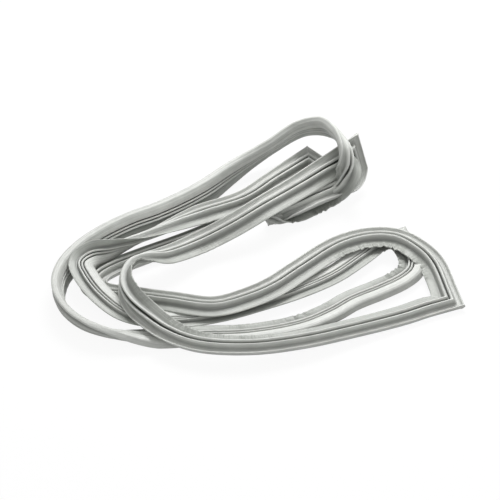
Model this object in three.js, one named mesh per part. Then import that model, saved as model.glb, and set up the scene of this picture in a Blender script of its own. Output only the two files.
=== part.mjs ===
// Refrigerator door gasket: one closed ring of soft PVC profile with four welded, mitred corners,
// folded up in loose bends as it is shipped. Millimetres, +Z up, standing on z = 0.
import * as THREE from 'three';

// Section of the profile, seen along the strip: across to the flap's side, height to the ridges' side.
const halfHeight = 5.0;
const lipReach = 13.2;
const lipRise = 2.0;
const lipThickness = 1.1;
const gutterFloor = -0.9;
const headThickness = 3.6;
const outerRidgeAcross = -3.2;
const innerRidgeAcross = 1.8;
const ridgeWidth = 2.3;
const ridgeRootSpread = 1.3;
const ridgeGrooveFloor = 0.8;
const flapReach = 13.6;
const flapThickness = 0.9;
const flapRootTop = -0.6;
const flapDroop = 1.3;
const footAcross = 3.1;
const footWidth = 1.6;
const channelRoof = -1.6;
const dartHalfNeck = 0.7;
const dartHalfBarb = 1.2;

// How finely the sweep follows the route.
const bendStep = 15;
const twistStep = 24;
const longestStep = 48;
const cornerClear = 17;

// The lay is drawn on a plan seen from the front at this slope: right and up on that drawing, the height of
// the strip's middle over the table, and the roll that lifts the flap's side of the strip.
const drawingSlope = 38.5;

const frontSide = [
  [186, 0, 6], [165, -5.5, 6, 10], [140, -13.5, 6, 8], [90, -26, 9, 6], [40, -36.5, 14, 6], [-10, -42, 17, 8],
  [-60, -39, 18, 12], [-88, -29, 20, 20], [-110, -14, 22, 35], [-126, 1, 25, 55], [-133, 14, 27, 68],
  [-133, 27, 28, 70], [-126, 38, 28, 55], [-112, 43, 26, 25], [-94, 45, 22, 5], [-60, 58, 17, -5],
  [-27, 75, 24, -8], [3, 93, 31, -8], [40, 114.5, 31, -12], [65, 130.5, 33, -25], [80, 140, 36, -45],
];
const wrapSide = [
  [92, 149, 40], [97, 134, 24], [92, 122, 18.5, 40], [76, 114, 18, 10], [52, 103, 18, 0], [28, 93, 17.5, 10],
  [12, 85, 15.5, 60], [5, 79, 14, 85], [8, 74, 12, 60], [20, 79, 7, 15], [38, 88, 6, 0], [57, 98, 6, 0],
  [75, 108, 14, -10], [86, 121, 32, -20], [90, 136, 47, -35], [88, 150, 56, -50], [80, 164, 58, -65],
  [66, 175, 51, -70], [40, 173, 38, -65], [10, 155, 24, -70], [-10, 142, 17, -80], [-30, 128, 14, -95],
  [-60, 106, 13, -115], [-100, 86, 13, -120], [-130, 75, 13, -118], [-160, 60, 13, -115], [-182, 44, 13, -112],
  [-196, 27, 13, -110], [-200, 9, 13, -110], [-192, -9, 13, -112], [-174, -23, 12, -118], [-150, -31, 10, -135],
  [-125, -35, 7, -160], [-100, -37, 6, 180], [-60, -35, 6, 180], [-10, -33, 6, 180], [40, -24, 6, 180],
  [70, -12, 6, 180], [90, -1, 6, 180], [120, 11, 6, 180], [140, 20.5, 6, 180], [150, 29, 6, 180],
  [151, 40, 6, 180],
];
const backSide = [
  [139, 61, 6], [118, 55, 6, 180], [98, 41, 6, 180], [72, 24, 6, 180], [40, 10, 6, 180], [0, -3, 6, 180],
  [-45, -15, 6, 180], [-90, -20, 7, 180], [-130, -14, 8, 180], [-155, 3, 13, 180], [-171, 22, 17, 180],
  [-177, 35, 18, 170], [-168, 45, 18, 130], [-150, 51, 17, 90], [-120, 62, 16, 45], [-60, 86, 16, 0],
  [-15, 101, 16, 0], [16, 121, 16, 0],
];
const innerSide = [
  [49, 142, 16], [63, 133, 13, 0], [64, 125, 9, 0], [54, 119, 6.5, 0], [35, 116, 6, 0], [16, 114, 6, 0],
  [-15, 87, 6, 0], [-60, 66, 6, 0], [-120, 44, 6, 0], [-150, 32, 6, 0], [-162, 24, 6, 0], [-165, 16, 6, 0],
  [-156, 9, 6, 0], [-130, 5, 6, 0], [-90, 0, 14, 0], [-45, -5, 17, 0], [-10, 4, 17, 0], [15, 15, 17, 0],
  [40, 31, 17, 0], [80, 55, 17, 0], [110, 63, 17, 0], [135, 62, 17, 0], [155, 52, 16, 0], [170, 38, 12, 0],
];
const sides = [frontSide, wrapSide, backSide, innerSide];

const gasketColour = 0xc4c7c1;

// Outline of the section as [across, height] pairs, from the lip over the ridges to the flap and back.
function profileOutline() {
  const ridge = (middle, top) => [
    [middle - ridgeWidth / 2 - ridgeRootSpread * 0.1, top - 1.0],
    [middle - ridgeWidth * 0.1, top],
    [middle + ridgeWidth / 2, top - 0.8],
  ];
  const grooveHalf = (innerRidgeAcross - outerRidgeAcross - ridgeWidth) / 2 - 0.6;
  const grooveMiddle = (innerRidgeAcross + outerRidgeAcross) / 2;
  const headBottom = gutterFloor - headThickness;
  const footBottom = -halfHeight;
  return [
    [-lipReach, lipRise - lipThickness * 1.5],
    [-lipReach + 0.3, lipRise],
    [-lipReach + lipThickness, lipRise],
    [-lipReach + lipThickness * 2, gutterFloor + 1.1],
    [-lipReach + 4.8, gutterFloor],
    [outerRidgeAcross - ridgeWidth / 2 - ridgeRootSpread, gutterFloor + 0.7],
    ...ridge(outerRidgeAcross, halfHeight - 0.4),
    [grooveMiddle - grooveHalf, ridgeGrooveFloor],
    [grooveMiddle + grooveHalf, ridgeGrooveFloor],
    ...ridge(innerRidgeAcross, halfHeight),
    [innerRidgeAcross + ridgeWidth / 2 + ridgeRootSpread * 0.8, flapRootTop],
    [(footAcross + flapReach) / 2, flapRootTop - flapDroop * 0.6],
    [flapReach, flapRootTop - flapDroop],
    [flapReach, flapRootTop - flapDroop - flapThickness],
    [(footAcross + flapReach) / 2, flapRootTop - flapDroop * 0.6 - flapThickness * 1.1],
    [footAcross + footWidth, flapRootTop - flapThickness * 1.4],
    [footAcross + footWidth / 2, footBottom],
    [footAcross - footWidth / 2, footBottom + 0.4],
    [dartHalfBarb + 0.5, channelRoof],
    [dartHalfNeck, channelRoof],
    [dartHalfBarb, footBottom + 1.2],
    [0, footBottom],
    [-dartHalfBarb, footBottom + 1.2],
    [-dartHalfNeck, channelRoof],
    [-dartHalfBarb - 0.5, channelRoof],
    [-footAcross + footWidth / 2, footBottom + 0.4],
    [-footAcross - footWidth / 2, footBottom],
    [-lipReach + 2.4, headBottom + 0.3],
    [-lipReach + 0.8, gutterFloor - 0.6],
  ];
}

// A point of the lay drawing as a point over the table.
function layPoint([right, up, height]) {
  const slope = THREE.MathUtils.degToRad(drawingSlope);
  return new THREE.Vector3(right, (up - height * Math.cos(slope)) / Math.sin(slope), height);
}

// The way the ridges face on a strip that heads along the tangent, rolled by an angle in degrees.
function facing(tangent, roll) {
  const toRight = new THREE.Vector3(tangent.y, -tangent.x, 0).normalize();
  const upward = toRight.clone().cross(tangent);
  const angle = THREE.MathUtils.degToRad(roll);
  return upward.multiplyScalar(Math.cos(angle)).addScaledVector(toRight, -Math.sin(angle)).normalize();
}

// Facing at each point of a side: from its roll, from the corners, or halfway between its neighbours.
function sideFacings(side, curve, firstFacing, lastFacing) {
  const last = side.length;
  const facings = [];
  for (let i = 0; i <= last; i++) {
    const roll = i < last ? side[i][3] : undefined;
    const tangent = curve.getTangent(i / last);
    facings.push(roll === undefined ? null : facing(tangent, roll));
  }
  facings[0] = firstFacing;
  facings[last] = lastFacing;
  for (let i = 1; i < last; i++) {
    if (facings[i] === null) facings[i] = facings[i - 1].clone().add(facings[i + 1]).normalize();
  }
  return facings;
}

// Stations along one side, from its first corner up to the next one.
function sideStations(curve, facings) {
  const spans = facings.length - 1;
  const stations = [];
  const first = curve.getPoint(0);
  const end = curve.getPoint(1);
  for (let i = 0; i < spans; i++) {
    const from = curve.getPoint(i / spans);
    const to = curve.getPoint((i + 1) / spans);
    const bend = curve.getTangent(i / spans).angleTo(curve.getTangent((i + 1) / spans));
    const twist = facings[i].angleTo(facings[i + 1]);
    const steps = Math.max(
      1,
      Math.ceil(THREE.MathUtils.radToDeg(bend) / bendStep),
      Math.ceil(THREE.MathUtils.radToDeg(twist) / twistStep),
      Math.ceil(from.distanceTo(to) / longestStep),
    );
    for (let step = 0; step < steps; step++) {
      const along = (i + step / steps) / spans;
      const point = curve.getPoint(along);
      const tangent = curve.getTangent(along);
      const blend = facings[i].clone().lerp(facings[i + 1], step / steps);
      const upward = blend.addScaledVector(tangent, -blend.dot(tangent)).normalize();
      const clear = point.distanceTo(first) > cornerClear && point.distanceTo(end) > cornerClear;
      if (clear) stations.push({ point, upward, across: tangent.clone().cross(upward) });
    }
  }
  return stations;
}

// All stations of the closed ring, with the mitre of each welded corner.
function ringStations() {
  const curves = sides.map((side, k) => {
    const next = sides[(k + 1) % sides.length];
    return new THREE.CatmullRomCurve3([...side, next[0]].map(layPoint));
  });
  const corners = curves.map((curve, k) => {
    const before = curves[(k + curves.length - 1) % curves.length].getTangent(1);
    const after = curve.getTangent(0);
    const upward = after.clone().cross(before).normalize();
    const across = before.clone().cross(upward).add(after.clone().cross(upward));
    const spread = 1 - Math.cos(Math.PI - before.angleTo(after));
    return { point: curve.getPoint(0), upward, across: across.divideScalar(spread) };
  });
  return curves.flatMap((curve, k) => {
    const next = corners[(k + 1) % corners.length];
    const facings = sideFacings(sides[k], curve, corners[k].upward, next.upward);
    return [corners[k], ...sideStations(curve, facings)];
  });
}

// Closed tube of the outline swept round the ring.
function sweepRing(outline, stations) {
  const positions = [];
  const indices = [];
  for (const { point, upward, across } of stations) {
    for (const [a, h] of outline) {
      const corner = point.clone().addScaledVector(across, a).addScaledVector(upward, h);
      positions.push(corner.x, corner.y, corner.z);
    }
  }
  const count = outline.length;
  for (let s = 0; s < stations.length; s++) {
    const here = s * count;
    const there = ((s + 1) % stations.length) * count;
    for (let i = 0; i < count; i++) {
      const j = (i + 1) % count;
      indices.push(here + i, there + j, there + i, here + i, here + j, there + j);
    }
  }
  const geometry = new THREE.BufferGeometry();
  geometry.setAttribute('position', new THREE.Float32BufferAttribute(positions, 3));
  geometry.setIndex(indices);
  geometry.computeVertexNormals();
  return geometry;
}

// Moves a shape so that it stands on the table, centred over the origin.
function standAtOrigin(geometry) {
  geometry.computeBoundingBox();
  const { min, max } = geometry.boundingBox;
  return geometry.translate(-(min.x + max.x) / 2, -(min.y + max.y) / 2, -min.z);
}

function gasketBody() {
  const material = new THREE.MeshStandardMaterial({ color: gasketColour, roughness: 0.5, metalness: 0 });
  const body = new THREE.Mesh(standAtOrigin(sweepRing(profileOutline(), ringStations())), material);
  body.name = 'gasket_body';
  return body;
}

const gasket = new THREE.Group();
gasket.add(gasketBody());

export default gasket;
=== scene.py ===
import math

import bmesh
import bpy
import numpy as np
from bpy.props import FloatProperty, FloatVectorProperty, PointerProperty
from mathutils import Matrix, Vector


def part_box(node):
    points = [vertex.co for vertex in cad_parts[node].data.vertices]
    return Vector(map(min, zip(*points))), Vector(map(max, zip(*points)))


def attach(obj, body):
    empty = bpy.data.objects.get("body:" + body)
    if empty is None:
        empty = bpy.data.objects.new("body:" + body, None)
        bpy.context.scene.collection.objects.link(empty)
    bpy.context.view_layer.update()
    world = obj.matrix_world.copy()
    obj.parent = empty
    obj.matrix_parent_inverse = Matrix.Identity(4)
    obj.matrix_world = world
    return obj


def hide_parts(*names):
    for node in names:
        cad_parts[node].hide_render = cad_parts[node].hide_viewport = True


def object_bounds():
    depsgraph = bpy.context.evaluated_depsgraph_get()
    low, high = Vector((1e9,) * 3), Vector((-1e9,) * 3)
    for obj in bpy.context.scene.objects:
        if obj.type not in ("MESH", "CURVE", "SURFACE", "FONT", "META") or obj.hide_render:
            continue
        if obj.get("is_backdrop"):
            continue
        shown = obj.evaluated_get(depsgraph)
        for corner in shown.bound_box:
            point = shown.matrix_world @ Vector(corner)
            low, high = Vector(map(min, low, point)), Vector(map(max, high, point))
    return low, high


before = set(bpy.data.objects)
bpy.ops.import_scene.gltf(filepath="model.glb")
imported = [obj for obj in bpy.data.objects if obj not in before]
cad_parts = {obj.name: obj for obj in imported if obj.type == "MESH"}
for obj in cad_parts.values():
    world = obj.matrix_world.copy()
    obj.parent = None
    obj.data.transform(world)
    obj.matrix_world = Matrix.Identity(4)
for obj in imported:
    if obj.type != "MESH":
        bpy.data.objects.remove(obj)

bl_info = {
    "name": "Door gasket",
    "version": (1, 0, 0),
    "blender": (4, 5, 0),
    "location": "View3D > Sidebar > Gasket",
    "description": "A folded ring of soft door seal with four welded corners, and its table",
    "category": "Object",
}

BODY_NODE = "gasket_body"
MM = 0.001
PVC_IOR = 1.53

# The photograph's width, at a millimetre of the object to a pixel, and the slope that it is seen at.
PHOTO_PIXELS = 500
DRAWING_SLOPE = 38.5

# The longest step along the strip in millimetres, and the greatest bend of one.
SURFACE_STEP = 3.9
BEND_DEGREES = 7.0
# Points of the outline for each point of the section, and the millimetres kept clear beside a corner.
OUTLINE_STEPS = 3
CORNER_CLEAR = 17.0
# The run that the texture is given over the step that closes the ring, in millimetres.
CLOSING_STEP = 5.0

# The squeeze of the flap at which wrinkles start, the most that counts, and where creases start and end.
WRINKLE_START = 0.05
WRINKLE_MOST = 0.5
CREASE_START = 0.02
CREASE_SPAN = 0.1

# The lay of the strip, side by side round the ring: right and up on a drawing seen at the slope, the height
# of the strip's middle over the table, and the roll that lifts the flap's side. It is as chosen for the
# solid, but for the fold under the front run, whose points lie up to 13 mm further in.
FRONT_SIDE = [
    (186, 0, 6), (165, -5.5, 6, 10), (140, -13.5, 6, 8), (90, -26, 9, 6), (40, -36.5, 14, 6), (-10, -42, 17, 8),
    (-60, -39, 18, 12), (-88, -29, 20, 20), (-110, -14, 22, 35), (-126, 1, 25, 55), (-133, 14, 27, 68),
    (-133, 27, 28, 70), (-126, 38, 28, 55), (-112, 43, 26, 25), (-94, 45, 22, 5), (-60, 58, 17, -5),
    (-27, 75, 24, -8), (3, 93, 31, -8), (40, 114.5, 31, -12), (65, 130.5, 33, -25), (80, 140, 36, -45),
]
WRAP_SIDE = [
    (92, 149, 40), (97, 134, 24), (92, 122, 18.5, 40), (76, 114, 18, 10), (52, 103, 18, 0), (28, 93, 17.5, 10),
    (15, 89, 15.5, 60), (9, 85, 14, 85), (13, 81, 12, 60), (24, 83, 7, 15), (38, 89, 6, 0), (57, 98, 6, 0),
    (75, 108, 14, -10), (86, 121, 32, -20), (90, 136, 47, -35), (88, 150, 56, -50), (80, 164, 58, -65),
    (66, 175, 51, -70), (40, 173, 38, -65), (10, 155, 24, -70), (-10, 142, 17, -80), (-30, 128, 14, -95),
    (-60, 106, 13, -115), (-100, 86, 13, -120), (-130, 75, 13, -118), (-160, 60, 13, -115),
    (-182, 44, 13, -112), (-196, 27, 13, -110), (-200, 9, 13, -110), (-192, -9, 13, -112),
    (-174, -23, 12, -118), (-150, -31, 10, -135), (-125, -35, 7, -160), (-100, -37, 6, 180),
    (-60, -35, 6, 180), (-10, -33, 6, 180), (40, -24, 6, 180),
    (70, -12, 6, 180), (90, -1, 6, 180), (120, 11, 6, 180), (140, 20.5, 6, 180), (150, 29, 6, 180),
    (151, 40, 6, 180),
]
BACK_SIDE = [
    (139, 61, 6), (118, 55, 6, 180), (98, 41, 6, 180), (72, 24, 6, 180), (40, 10, 6, 180), (0, -3, 6, 180),
    (-45, -15, 6, 180), (-90, -20, 7, 180), (-130, -14, 8, 180), (-155, 3, 13, 180), (-171, 22, 17, 180),
    (-177, 35, 18, 170), (-168, 45, 18, 130), (-150, 51, 17, 90), (-120, 62, 16, 45), (-60, 86, 16, 0),
    (-15, 101, 16, 0), (16, 121, 16, 0),
]
INNER_SIDE = [
    (49, 142, 16), (63, 133, 13, 0), (64, 125, 9, 0), (54, 119, 6.5, 0), (35, 116, 6, 0), (16, 114, 6, 0),
    (-15, 87, 6, 0), (-60, 66, 6, 0), (-120, 44, 6, 0), (-150, 32, 6, 0), (-162, 24, 6, 0), (-165, 16, 6, 0),
    (-156, 9, 6, 0), (-130, 5, 6, 0), (-90, 0, 14, 0), (-45, -5, 17, 0), (-10, 4, 17, 0), (15, 15, 17, 0),
    (40, 31, 17, 0), (80, 55, 17, 0), (110, 63, 17, 0), (135, 62, 17, 0), (155, 52, 16, 0), (170, 38, 12, 0),
]
SIDES = [FRONT_SIDE, WRAP_SIDE, BACK_SIDE, INNER_SIDE]

# Where the photograph's middle lies on the same drawing.
VIEW_MIDDLE = (-10.0, 50.0)

# How much shade is painted into each point of the section's outline, in the outline's order: 0 on ridges,
# 1 deep in grooves, where the colour is painted darker in place of the shade that falls in them.
PAINTED_SHADE_TONES = (
    0.1, 0.0, 0.0, 0.25, 0.25, 0.6, 0.05, 0.0, 0.1, 1.0, 1.0, 0.1, 0.0, 0.05, 0.7, 0.1, 0.0,
    0.0, 0.1, 0.75, 0.05, 0.1, 1.0, 1.0, 0.4, 0.0, 0.4, 1.0, 1.0, 0.1, 0.0, 0.15, 0.2,
)

# Half the width and the height of a weld's bead, in millimetres.
BEAD_HALF = 1.3
BEAD_HEIGHT = 0.35

# Places of the two lamps over the table, in metres.
KEY_PLACE = (0.1, 0.75, 1.0)
FILL_PLACE = (0.5, -1.8, 1.3)


def linear(hex_colour):
    """Turns an sRGB hex value to a linear colour with alpha."""
    parts = [int(hex_colour[i:i + 2], 16) / 255 for i in (0, 2, 4)]
    return [c / 12.92 if c <= 0.04045 else ((c + 0.055) / 1.055) ** 2.4 for c in parts] + [1.0]


class GasketProfile(bpy.types.PropertyGroup):
    """Sizes of the strip's section, in millimetres."""
    half_height: FloatProperty(name="Half height", description="From the middle to the ridges", default=5.0)
    lip_reach: FloatProperty(name="Lip reach", description="From the middle to the lip", default=13.2)
    lip_rise: FloatProperty(name="Lip rise", description="Height of the lip's edge", default=2.0)
    lip_thickness: FloatProperty(name="Lip thickness", description="Thickness of the lip", default=1.1)
    gutter_floor: FloatProperty(name="Gutter floor", description="Height of the gutter's floor", default=-0.9)
    head_thickness: FloatProperty(name="Head", description="Thickness under the gutter", default=3.6)
    outer_ridge: FloatProperty(name="Outer ridge", description="Ridge by the gutter", default=-3.2)
    inner_ridge: FloatProperty(name="Inner ridge", description="Ridge by the flap", default=1.8)
    ridge_width: FloatProperty(name="Ridge width", description="Width of a ridge at its top", default=2.3)
    ridge_spread: FloatProperty(name="Ridge spread", description="Spread of a ridge's root", default=1.3)
    groove_floor: FloatProperty(name="Groove floor", description="Floor between the ridges", default=0.8)
    flap_reach: FloatProperty(name="Flap reach", description="From the middle to its edge", default=13.6)
    flap_thickness: FloatProperty(name="Flap thickness", description="Thickness of the flap", default=0.9)
    flap_root: FloatProperty(name="Flap root", description="Height where the flap starts", default=-0.6)
    flap_droop: FloatProperty(name="Flap droop", description="How far the flap's edge droops", default=1.3)
    foot_across: FloatProperty(name="Feet", description="From the middle to each foot", default=3.1)
    foot_width: FloatProperty(name="Foot width", description="Width of a foot", default=1.6)
    channel_roof: FloatProperty(name="Channel roof", description="Roof over the dart", default=-1.6)
    dart_neck: FloatProperty(name="Dart neck", description="Half the dart's neck", default=0.7)
    dart_barb: FloatProperty(name="Dart barb", description="Half the dart's barb", default=1.2)


class GasketFinish(bpy.types.PropertyGroup):
    """Colours of the soft PVC, with shade painted into its flap and grooves, and its wrinkles."""
    face: FloatVectorProperty(name="Face", description="Colour of the ridges and lips",
                              subtype="COLOR", size=4, default=linear("dadcd7"))
    # Painted shade: the flap is painted greyer than the face, in place of the shade on the thin drooping flap.
    flap: FloatVectorProperty(name="Flap", description="Colour of the thin flap",
                              subtype="COLOR", size=4, default=linear("babdb7"))
    # Painted shade: the colour the grooves are painted towards, darker in place of the shade that falls in
    # them.
    painted_groove_shade: FloatVectorProperty(name="Groove", description="Colour deep in the grooves",
                                subtype="COLOR", size=4, default=linear("50534e"))
    wrinkle: FloatProperty(name="Wrinkles", description="Strength of the flap's wrinkles", default=3.2)
    wrinkle_pitch: FloatProperty(name="Wrinkle pitch", description="Millimetres between wrinkles", default=7.5)


class GasketStage(bpy.types.PropertyGroup):
    """The table, the lamps and the camera."""
    elevation: FloatProperty(name="Elevation", description="Height of the view", subtype="ANGLE",
                             default=math.radians(DRAWING_SLOPE))
    distance: FloatProperty(name="Distance", description="Camera to the gasket", default=6.0, unit="LENGTH")
    table_size: FloatProperty(name="Table", description="Width of the table", default=6.0, unit="LENGTH")
    table_gap: FloatProperty(name="Table gap", description="From the gasket to the table", default=0.0002,
                             unit="LENGTH")
    room_light: FloatProperty(name="Room light", description="Strength of the even light", default=0.38)
    key_width: FloatProperty(name="Key width", description="Width of the key lamp", default=0.7, unit="LENGTH")
    key_power: FloatProperty(name="Key power", description="Watts of the key lamp", default=14.5)
    fill_width: FloatProperty(name="Fill width", description="Width of the fill lamp", default=1.6,
                              unit="LENGTH")
    fill_power: FloatProperty(name="Fill power", description="Watts of the fill lamp", default=8.0)


def outline_points(size):
    """The section's outline as [across, height] in millimetres, from the lip over the ridges and back."""
    def ridge(middle, top):
        return [
            (middle - size.ridge_width / 2 - size.ridge_spread * 0.1, top - 1.0),
            (middle - size.ridge_width * 0.1, top),
            (middle + size.ridge_width / 2, top - 0.8),
        ]
    groove_half = (size.inner_ridge - size.outer_ridge - size.ridge_width) / 2 - 0.6
    groove_middle = (size.inner_ridge + size.outer_ridge) / 2
    head_bottom = size.gutter_floor - size.head_thickness
    foot_bottom = -size.half_height
    flap_middle = (size.foot_across + size.flap_reach) / 2
    flap_sag = size.flap_root - size.flap_droop * 0.6
    flap_end = size.flap_root - size.flap_droop
    return np.array([
        (-size.lip_reach, size.lip_rise - size.lip_thickness * 1.5),
        (-size.lip_reach + 0.3, size.lip_rise),
        (-size.lip_reach + size.lip_thickness, size.lip_rise),
        (-size.lip_reach + size.lip_thickness * 2, size.gutter_floor + 1.1),
        (-size.lip_reach + 4.8, size.gutter_floor),
        (size.outer_ridge - size.ridge_width / 2 - size.ridge_spread, size.gutter_floor + 0.7),
        *ridge(size.outer_ridge, size.half_height - 0.4),
        (groove_middle - groove_half, size.groove_floor),
        (groove_middle + groove_half, size.groove_floor),
        *ridge(size.inner_ridge, size.half_height),
        (size.inner_ridge + size.ridge_width / 2 + size.ridge_spread * 0.8, size.flap_root),
        (flap_middle, flap_sag),
        (size.flap_reach, flap_end),
        (size.flap_reach, flap_end - size.flap_thickness),
        (flap_middle, flap_sag - size.flap_thickness * 1.1),
        (size.foot_across + size.foot_width, size.flap_root - size.flap_thickness * 1.4),
        (size.foot_across + size.foot_width / 2, foot_bottom),
        (size.foot_across - size.foot_width / 2, foot_bottom + 0.4),
        (size.dart_barb + 0.5, size.channel_roof),
        (size.dart_neck, size.channel_roof),
        (size.dart_barb, foot_bottom + 1.2),
        (0.0, foot_bottom),
        (-size.dart_barb, foot_bottom + 1.2),
        (-size.dart_neck, size.channel_roof),
        (-size.dart_barb - 0.5, size.channel_roof),
        (-size.foot_across + size.foot_width / 2, foot_bottom + 0.4),
        (-size.foot_across - size.foot_width / 2, foot_bottom),
        (-size.lip_reach + 2.4, head_bottom + 0.3),
        (-size.lip_reach + 0.8, size.gutter_floor - 0.6),
    ])


def unit(vector):
    """The vector at a length of one."""
    return vector / max(np.linalg.norm(vector), 1e-12)


def lay_point(entry):
    """A point of the lay drawing as a point over the table, in millimetres."""
    right, up, height = entry[:3]
    slope = math.radians(DRAWING_SLOPE)
    return np.array([right, (up - height * math.cos(slope)) / math.sin(slope), height])


class Route:
    """A centripetal Catmull-Rom curve through its points, with an even share of the run for each span."""

    def __init__(self, points, closed=False):
        self.points = np.array(points, dtype=float)
        self.closed = closed
        self.spans = len(points) if closed else len(points) - 1

    def knot(self, i):
        count = len(self.points)
        if self.closed:
            return self.points[i % count]
        if i < 0:
            return 2 * self.points[0] - self.points[1]
        if i >= count:
            return 2 * self.points[-1] - self.points[-2]
        return self.points[i]

    def at(self, along):
        i = min(int(along), self.spans - 1)
        w = along - i
        p0, p1, p2, p3 = (self.knot(i + k) for k in (-1, 0, 1, 2))
        d1 = np.linalg.norm(p2 - p1) ** 0.5 or 1.0
        d0 = np.linalg.norm(p1 - p0) ** 0.5 or d1
        d2 = np.linalg.norm(p3 - p2) ** 0.5 or d1
        t1 = ((p1 - p0) / d0 - (p2 - p0) / (d0 + d1) + (p2 - p1) / d1) * d1
        t2 = ((p2 - p1) / d1 - (p3 - p1) / (d1 + d2) + (p3 - p2) / d2) * d1
        return p1 + t1 * w + (3 * (p2 - p1) - 2 * t1 - t2) * w ** 2 + (2 * (p1 - p2) + t1 + t2) * w ** 3

    def heading(self, along):
        reach = 1e-3
        low, high = max(along - reach, 0.0), min(along + reach, float(self.spans))
        return unit(self.at(high) - self.at(low))


def facing(heading, roll):
    """The way the ridges face on a strip with this heading, rolled by so many degrees."""
    to_right = unit(np.array([heading[1], -heading[0], 0.0]))
    upward = np.cross(to_right, heading)
    angle = math.radians(roll)
    return unit(upward * math.cos(angle) - to_right * math.sin(angle))


def side_facings(side, route, first, last):
    """Facings at the points of a side; where no roll is given, halfway between the neighbours."""
    facings = [facing(route.heading(i), entry[3]) if len(entry) > 3 else None for i, entry in enumerate(side)]
    facings.append(last)
    facings[0] = first
    for i in range(1, len(side)):
        if facings[i] is None:
            facings[i] = unit(facings[i - 1] + facings[i + 1])
    return facings


def side_stations(route, facings):
    """Fine stations along a side as (point, upward, across, heading), clear of its two mitres."""
    ends = route.at(0.0), route.at(float(route.spans))
    stations = []
    for i in range(route.spans):
        length = np.linalg.norm(route.at(i + 1.0) - route.at(float(i)))
        bend = math.degrees(math.acos(np.clip(route.heading(float(i)) @ route.heading(i + 1.0), -1, 1)))
        steps = max(1, math.ceil(length / SURFACE_STEP), math.ceil(bend / BEND_DEGREES))
        for step in range(steps):
            w = step / steps
            point, heading = route.at(i + w), route.heading(i + w)
            if min(np.linalg.norm(point - end) for end in ends) < CORNER_CLEAR:
                continue
            blend = facings[i] * (1 - w) + facings[i + 1] * w
            upward = unit(blend - heading * (blend @ heading))
            stations.append((point, upward, np.cross(heading, upward), heading))
    return stations


def corner_stations(before, after, point):
    """The mitred section of a welded corner, and the sections beside it where the weld's bead ends."""
    upward = unit(np.cross(after, before))
    across = (np.cross(before, upward) + np.cross(after, upward)) / (1 + before @ after)
    return [
        (point - before * BEAD_HALF, upward, across, before),
        (point, upward, across, unit(before + after)),
        (point + after * BEAD_HALF, upward, across, after),
    ]


def ring_stations():
    """All stations of the closed ring, and the number of the mitred one at each corner."""
    routes = []
    for k, side in enumerate(SIDES):
        following = SIDES[(k + 1) % len(SIDES)]
        routes.append(Route([lay_point(entry) for entry in side + following[:1]]))
    corners = []
    for k, route in enumerate(routes):
        before = routes[k - 1].heading(float(routes[k - 1].spans))
        corners.append(corner_stations(before, route.heading(0.0), route.at(0.0)))
    stations, mitres = [], []
    for k, route in enumerate(routes):
        first, last = corners[k][1][1], corners[(k + 1) % len(corners)][1][1]
        mitres.append(len(stations) + 1)
        stations += corners[k]
        stations += side_stations(route, side_facings(SIDES[k], route, first, last))
    return stations, mitres


def flap_compression(stations, mitres, reach):
    """How far each station's bend squeezes the flap's edge, as a share of its length, and the run so far."""
    points = np.array([s[0] for s in stations])
    headings = np.array([s[3] for s in stations])
    across = np.array([s[2] for s in stations])
    steps = np.linalg.norm(np.roll(points, -1, 0) - points, axis=1)
    bend = (np.roll(headings, -1, 0) - np.roll(headings, 1, 0)) / (steps + np.roll(steps, 1))[:, None]
    squeeze = np.einsum("ij,ij->i", bend, across) * reach
    for mitre in mitres:
        squeeze[np.arange(mitre - 3, mitre + 4) % len(squeeze)] = 0
    kernel = np.hanning(9)
    padded = np.concatenate([squeeze[-4:], squeeze, squeeze[:4]])
    return np.convolve(padded, kernel / kernel.sum(), "valid"), np.concatenate([[0], np.cumsum(steps)[:-1]])


def wrinkle_heights(along, squeeze, finish):
    """Height of the flap's wrinkles at each station, in millimetres."""
    beat = 2 * math.pi * along / finish.wrinkle_pitch
    wave = np.sin(beat + 1.7 * np.sin(beat / 5.3)) * 0.6 + np.sin(beat * 0.61 + 2.0 + np.sin(beat / 3.1)) * 0.4
    return wave * finish.wrinkle * np.sqrt(np.clip(squeeze - WRINKLE_START, 0, WRINKLE_MOST))


def outward(outline):
    """Unit normals of the outline, which runs clockwise."""
    run = np.roll(outline, -1, 0) - np.roll(outline, 1, 0)
    return np.stack([-run[:, 1], run[:, 0]], 1) / np.linalg.norm(run, axis=1)[:, None]


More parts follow.
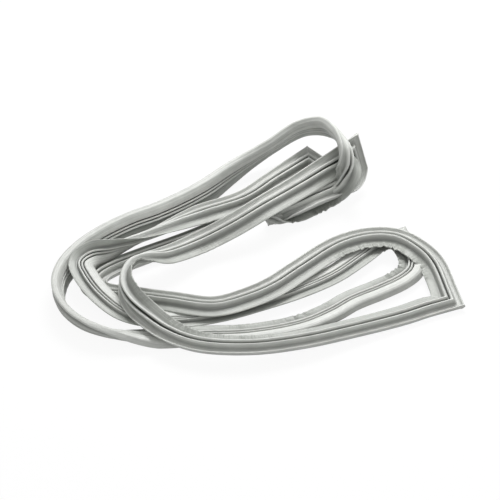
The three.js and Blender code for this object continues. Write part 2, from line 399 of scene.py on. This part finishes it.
def strip_mesh(name, size, finish):
    """The swept ring with its wrinkled flap and weld beads, its UV map (along, round) in metres and its
    attributes: how much shade is painted at each point of the section, how far on the flap (where its colour
    is painted greyer as shade), how creased, and how near a weld."""
    coarse = outline_points(size)
    route = Route([(a, h, 0.0) for a, h in coarse], closed=True)
    outline = np.array([route.at(i / OUTLINE_STEPS)[:2] for i in range(route.spans * OUTLINE_STEPS)])
    uneven = 1 + 0.4 * np.sin(np.arange(len(outline)) * 1.7)
    bead = outline + outward(outline) * BEAD_HEIGHT * uneven[:, None]
    stations, mitres = ring_stations()
    squeeze, along = flap_compression(stations, mitres, size.flap_reach)
    wrinkles = wrinkle_heights(along, squeeze, finish)
    flap_start = size.foot_across + size.foot_width
    flap_share = np.clip((outline[:, 0] - flap_start) / (size.flap_reach - flap_start), 0, 1) ** 1.2
    rings = []
    for i, (point, upward, across, _) in enumerate(stations):
        section = bead if i in mitres else outline
        heights = section[:, 1] + flap_share * wrinkles[i]
        rings.append(point + section[:, :1] * across + heights[:, None] * upward)
    count = len(outline)
    # Painted shade: the section's colour is darkened in the grooves, gutters and roots, in place of the shade
    # that falls there.
    closed_shade_tones = PAINTED_SHADE_TONES + PAINTED_SHADE_TONES[:1]
    shade_tones = np.interp(np.arange(count) / OUTLINE_STEPS, np.arange(len(closed_shade_tones)), closed_shade_tones)
    # Painted shade: how far on the flap, where its colour is painted greyer in place of the shade on the thin
    # drooping flap.
    flap = np.clip((outline[:, 0] - size.inner_ridge - 2.2) / 1.2, 0, 1)
    crease = np.outer(np.clip((squeeze - CREASE_START) / CREASE_SPAN, 0, 1), flap_share)
    weld = np.zeros(len(stations))
    weld[mitres] = 1.0
    attributes = {
        "painted_groove_shade": np.tile(shade_tones, len(stations)),
        "flap": np.tile(flap, len(stations)),
        "crease": crease.ravel(),
        "weld": np.repeat(weld, count),
    }
    places = np.array(rings).reshape(-1, 3)
    low, high = places.min(0), places.max(0)
    shift = np.array([(low[0] + high[0]) / 2, (low[1] + high[1]) / 2, 0.0])
    box_low, box_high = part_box(BODY_NODE)
    middle = np.array([(box_low[0] + box_high[0]) / 2, (box_low[1] + box_high[1]) / 2, 0.0])
    places = (places - shift) * MM + middle
    places[:, 2] = np.maximum(places[:, 2], box_low[2])
    return build_ring(name, places, outline, along, attributes), shift * MM - middle


def build_ring(name, places, outline, along, attributes):
    """Faces, UV map and attributes of the swept ring."""
    count = len(outline)
    rings = len(places) // count
    steps = np.linalg.norm(outline - np.roll(outline, 1, 0), axis=1)
    round_run = np.concatenate([[0], np.cumsum(steps[1:])]) * MM
    mesh = bpy.data.meshes.new(name)
    faces = []
    for s in range(rings):
        here, there = s * count, ((s + 1) % rings) * count
        for i in range(count):
            j = (i + 1) % count
            faces.append((here + i, here + j, there + j, there + i))
    mesh.from_pydata(places.tolist(), [], faces)
    mesh.update()
    total = along[-1] + CLOSING_STEP
    loops = np.zeros(len(mesh.loops), dtype=np.int32)
    mesh.loops.foreach_get("vertex_index", loops)
    u = np.repeat(along * MM, count)[loops]
    v = np.tile(round_run, rings)[loops]
    polygon = np.arange(len(loops)) // 4
    ring_of, point_of = polygon // count, polygon % count
    u = np.where((ring_of == rings - 1) & (u < total * MM / 2), total * MM, u)
    v = np.where((point_of == count - 1) & (v < round_run[-1] / 2), round_run[-1] + steps[0] * MM, v)
    uv = mesh.uv_layers.new(name="strip")
    uv.data.foreach_set("uv", np.stack([u, v], 1).astype(np.float32).ravel())
    for label, values in attributes.items():
        layer = mesh.attributes.new(label, "FLOAT", "POINT")
        layer.data.foreach_set("value", values.astype(np.float32))
    ring = bpy.data.objects.new(name, mesh)
    bpy.context.collection.objects.link(ring)
    recalculate(mesh)
    mesh.shade_smooth()
    return ring


def recalculate(mesh):
    """Turns all faces of a closed mesh outwards."""
    shell = bmesh.new()
    shell.from_mesh(mesh)
    bmesh.ops.recalc_face_normals(shell, faces=shell.faces)
    shell.to_mesh(mesh)
    shell.free()


def node(tree, kind, links=None, **settings):
    """Adds a node with its settings, and links its named inputs to values or to other sockets."""
    made = tree.nodes.new(kind)
    for key, value in settings.items():
        setattr(made, key, value)
    for key, value in (links or {}).items():
        socket = made.inputs[key]
        if isinstance(value, bpy.types.NodeSocket):
            tree.links.new(value, socket)
        else:
            socket.default_value = value
    return made


def mixed_colour(tree, factor, first, second):
    """Mixes two colours by a factor."""
    return node(tree, "ShaderNodeMix", {0: factor, 6: first, 7: second}, data_type="RGBA").outputs[2]


def ranged(tree, value, least, most):
    """Maps a value from 0 to 1 onto a range."""
    return node(tree, "ShaderNodeMapRange", {"Value": value, "To Min": least, "To Max": most}).outputs["Result"]


def soft_pvc(finish):
    """Plasticised PVC, extruded: satin, with faint lines along the strip left by the die, and slightly
    uneven colour where the soft skin has rubbed. The thin flap is painted a little greyer than the ridges
    and the grooves are painted darker, as painted shade."""
    material = bpy.data.materials.new("extruded_soft_pvc")
    material.use_nodes = True
    tree = material.node_tree
    shader = tree.nodes["Principled BSDF"]
    uv = node(tree, "ShaderNodeUVMap", uv_map="strip").outputs["UV"]
    painted_groove_shade, flap, crease, weld = (node(tree, "ShaderNodeAttribute", attribute_name=label).outputs["Fac"]
                                  for label in ("painted_groove_shade", "flap", "crease", "weld"))
    place = node(tree, "ShaderNodeTexCoord").outputs["Object"]
    # Uneven patches about 12 mm across.
    patches = node(tree, "ShaderNodeTexNoise", {"Vector": place, "Scale": 80.0, "Detail": 3.0}).outputs["Fac"]
    # Die lines 1 mm apart round the section, and 125 mm long.
    stretched = node(tree, "ShaderNodeMapping", {"Vector": uv, "Scale": (8.0, 1000.0, 1.0)}).outputs["Vector"]
    lines = node(tree, "ShaderNodeTexNoise", {"Vector": stretched, "Scale": 1.0, "Detail": 2.0}).outputs["Fac"]
    # Creases across the squeezed flap, 4 mm apart and 12 mm long.
    folded = node(tree, "ShaderNodeMapping", {"Vector": uv, "Scale": (250.0, 80.0, 1.0)}).outputs["Vector"]
    folds = node(tree, "ShaderNodeTexNoise", {"Vector": folded, "Scale": 1.0, "Detail": 1.0}).outputs["Fac"]
    creases = node(tree, "ShaderNodeMath", {0: folds, 1: crease}, operation="MULTIPLY").outputs[0]
    # The skin's grain, 0.8 mm.
    grain = node(tree, "ShaderNodeTexNoise", {"Vector": place, "Scale": 1250.0, "Detail": 1.0}).outputs["Fac"]

    # Painted shade: the flap's colour is painted greyer, and the colour deep in the grooves darker, in place of
    # the shade that falls there.
    skin = mixed_colour(tree, flap, finish.face, finish.flap)
    shaded = mixed_colour(tree, painted_groove_shade, skin, finish.painted_groove_shade)
    welded = node(tree, "ShaderNodeMath", {0: weld, 1: 0.5}, operation="MULTIPLY").outputs[0]
    shaded = mixed_colour(tree, welded, shaded, finish.face)
    rubbed = ranged(tree, patches, 0.82, 1.16)
    drawn_tone = ranged(tree, lines, 0.68, 1.32)
    spread = node(tree, "ShaderNodeMath", {0: rubbed, 1: drawn_tone}, operation="MULTIPLY").outputs[0]
    toned = node(tree, "ShaderNodeHueSaturation", {"Value": spread, "Color": shaded}).outputs["Color"]
    tree.links.new(toned, shader.inputs["Base Color"])
    tree.links.new(ranged(tree, patches, 0.34, 0.48), shader.inputs["Roughness"])
    ground = node(tree, "ShaderNodeBump", {"Height": grain, "Strength": 0.8, "Distance": 0.00012})
    drawn = node(tree, "ShaderNodeBump", {"Height": lines, "Strength": 0.8, "Distance": 0.0005,
                                          "Normal": ground.outputs["Normal"]})
    bump = node(tree, "ShaderNodeBump", {"Height": creases, "Strength": 1.0, "Distance": 0.004,
                                         "Normal": drawn.outputs["Normal"]})
    tree.links.new(bump.outputs["Normal"], shader.inputs["Normal"])
    shader.inputs["IOR"].default_value = PVC_IOR
    return material


def table_material():
    """Matt white board: the camera sees it almost white, with the shadow kept."""
    material = bpy.data.materials.new("matt_white_board")
    material.use_nodes = True
    tree = material.node_tree
    tree.nodes.clear()
    path = node(tree, "ShaderNodeLightPath")
    board = node(tree, "ShaderNodeBsdfDiffuse", {"Color": linear("aaaaaa")})
    soft = node(tree, "ShaderNodeBsdfDiffuse", {"Color": (0.09, 0.09, 0.09, 1.0)})
    glow = node(tree, "ShaderNodeEmission", {"Color": (1.0, 1.0, 1.0, 1.0), "Strength": 0.92})
    bright = node(tree, "ShaderNodeAddShader", {0: soft.outputs[0], 1: glow.outputs[0]})
    seen = node(tree, "ShaderNodeMath", {0: path.outputs["Is Camera Ray"], 1: path.outputs["Is Glossy Ray"]},
                operation="MAXIMUM").outputs[0]
    seen = node(tree, "ShaderNodeMath", {0: seen, 1: path.outputs["Is Transmission Ray"]},
                operation="MAXIMUM").outputs[0]
    mixed = node(tree, "ShaderNodeMixShader", {0: seen, 1: board.outputs[0], 2: bright.outputs[0]})
    node(tree, "ShaderNodeOutputMaterial", {"Surface": mixed.outputs[0]})
    return material


def studio_world(strength):
    """Even studio light, seen by the camera as white."""
    world = bpy.data.worlds.new("studio")
    world.use_nodes = True
    tree = world.node_tree
    tree.nodes.clear()
    path = node(tree, "ShaderNodeLightPath")
    room = node(tree, "ShaderNodeBackground", {"Color": (1.0, 1.0, 1.0, 1.0), "Strength": strength})
    white = node(tree, "ShaderNodeBackground", {"Color": (1.0, 1.0, 1.0, 1.0), "Strength": 1.0})
    mixed = node(tree, "ShaderNodeMixShader",
                 {0: path.outputs["Is Camera Ray"], 1: room.outputs[0], 2: white.outputs[0]})
    node(tree, "ShaderNodeOutputWorld", {"Surface": mixed.outputs[0]})
    bpy.context.scene.world = world


def softbox(name, place, width, power):
    """A square area lamp that looks at the gasket."""
    bpy.ops.object.light_add(type="AREA", location=place)
    lamp = bpy.context.object
    lamp.name = name
    lamp.data.size = width
    lamp.data.energy = power
    lamp.rotation_euler = (-Vector(place)).to_track_quat("-Z", "Y").to_euler()


class GASKET_OT_strip(bpy.types.Operator):
    """Sweep the soft PVC section round the folded ring, with its four welded mitres"""
    bl_idname = "gasket.strip"
    bl_label = "Swept strip"

    def execute(self, context):
        size, finish = context.scene.gasket_profile, context.scene.gasket_finish
        ring, shift = strip_mesh("gasket_strip", size, finish)
        ring.data.materials.append(soft_pvc(finish))
        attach(ring, "root")
        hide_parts(BODY_NODE)
        context.scene["lay_shift"] = list(shift)
        return {"FINISHED"}


class GASKET_OT_stage(bpy.types.Operator):
    """Set the table, the lamps and the camera at the photograph's angle"""
    bl_idname = "gasket.stage"
    bl_label = "Stage"

    def execute(self, context):
        stage = context.scene.gasket_stage
        bpy.ops.object.select_all(action="DESELECT")
        table_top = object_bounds()[0][2] - stage.table_gap
        bpy.ops.mesh.primitive_plane_add(size=stage.table_size, location=(0, 0, table_top))
        table = context.object
        table.name = "table"
        table.data.transform(table.matrix_world)
        table.matrix_world.identity()
        table.data.materials.append(table_material())
        table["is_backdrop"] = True
        studio_world(stage.room_light)
        softbox("key_back", KEY_PLACE, stage.key_width, stage.key_power)
        softbox("fill_front", FILL_PLACE, stage.fill_width, stage.fill_power)
        self.place_camera(context, stage)
        return {"FINISHED"}

    def place_camera(self, context, stage):
        shift = context.scene["lay_shift"]
        right, up = VIEW_MIDDLE
        target = Vector((right * MM - shift[0], up * MM / math.sin(stage.elevation) - shift[1], 0.0))
        towards = Vector((0.0, -math.cos(stage.elevation), math.sin(stage.elevation)))
        bpy.ops.object.camera_add(location=target + towards * stage.distance)
        camera = context.object
        camera.rotation_euler = (-towards).to_track_quat("-Z", "Y").to_euler()
        camera.data.lens = camera.data.sensor_width * stage.distance / (PHOTO_PIXELS * MM)
        camera.data.clip_end = stage.distance * 4
        context.scene.camera = camera


class GASKET_PT_panel(bpy.types.Panel):
    """Lists the gasket's steps"""
    bl_idname = "GASKET_PT_panel"
    bl_label = "Door gasket"
    bl_space_type = "VIEW_3D"
    bl_region_type = "UI"
    bl_category = "Gasket"

    def draw(self, context):
        for group in (context.scene.gasket_profile, context.scene.gasket_finish, context.scene.gasket_stage):
            for name in group.bl_rna.properties.keys():
                if name not in {"rna_type", "name"}:
                    self.layout.prop(group, name)
        for step in STEPS:
            self.layout.operator(step.bl_idname)


STEPS = (GASKET_OT_strip, GASKET_OT_stage)
GROUPS = (GasketProfile, GasketFinish, GasketStage)


def register():
    for kind in (*GROUPS, *STEPS, GASKET_PT_panel):
        bpy.utils.register_class(kind)
    bpy.types.Scene.gasket_profile = PointerProperty(type=GasketProfile)
    bpy.types.Scene.gasket_finish = PointerProperty(type=GasketFinish)
    bpy.types.Scene.gasket_stage = PointerProperty(type=GasketStage)


def unregister():
    del bpy.types.Scene.gasket_stage
    del bpy.types.Scene.gasket_finish
    del bpy.types.Scene.gasket_profile
    for kind in (GASKET_PT_panel, *reversed(STEPS), *reversed(GROUPS)):
        bpy.utils.unregister_class(kind)


def main():
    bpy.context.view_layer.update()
    register()
    bpy.context.scene.view_settings.view_transform = "Standard"
    bpy.ops.gasket.strip()
    bpy.ops.gasket.stage()


if __name__ == "__main__":
    main()
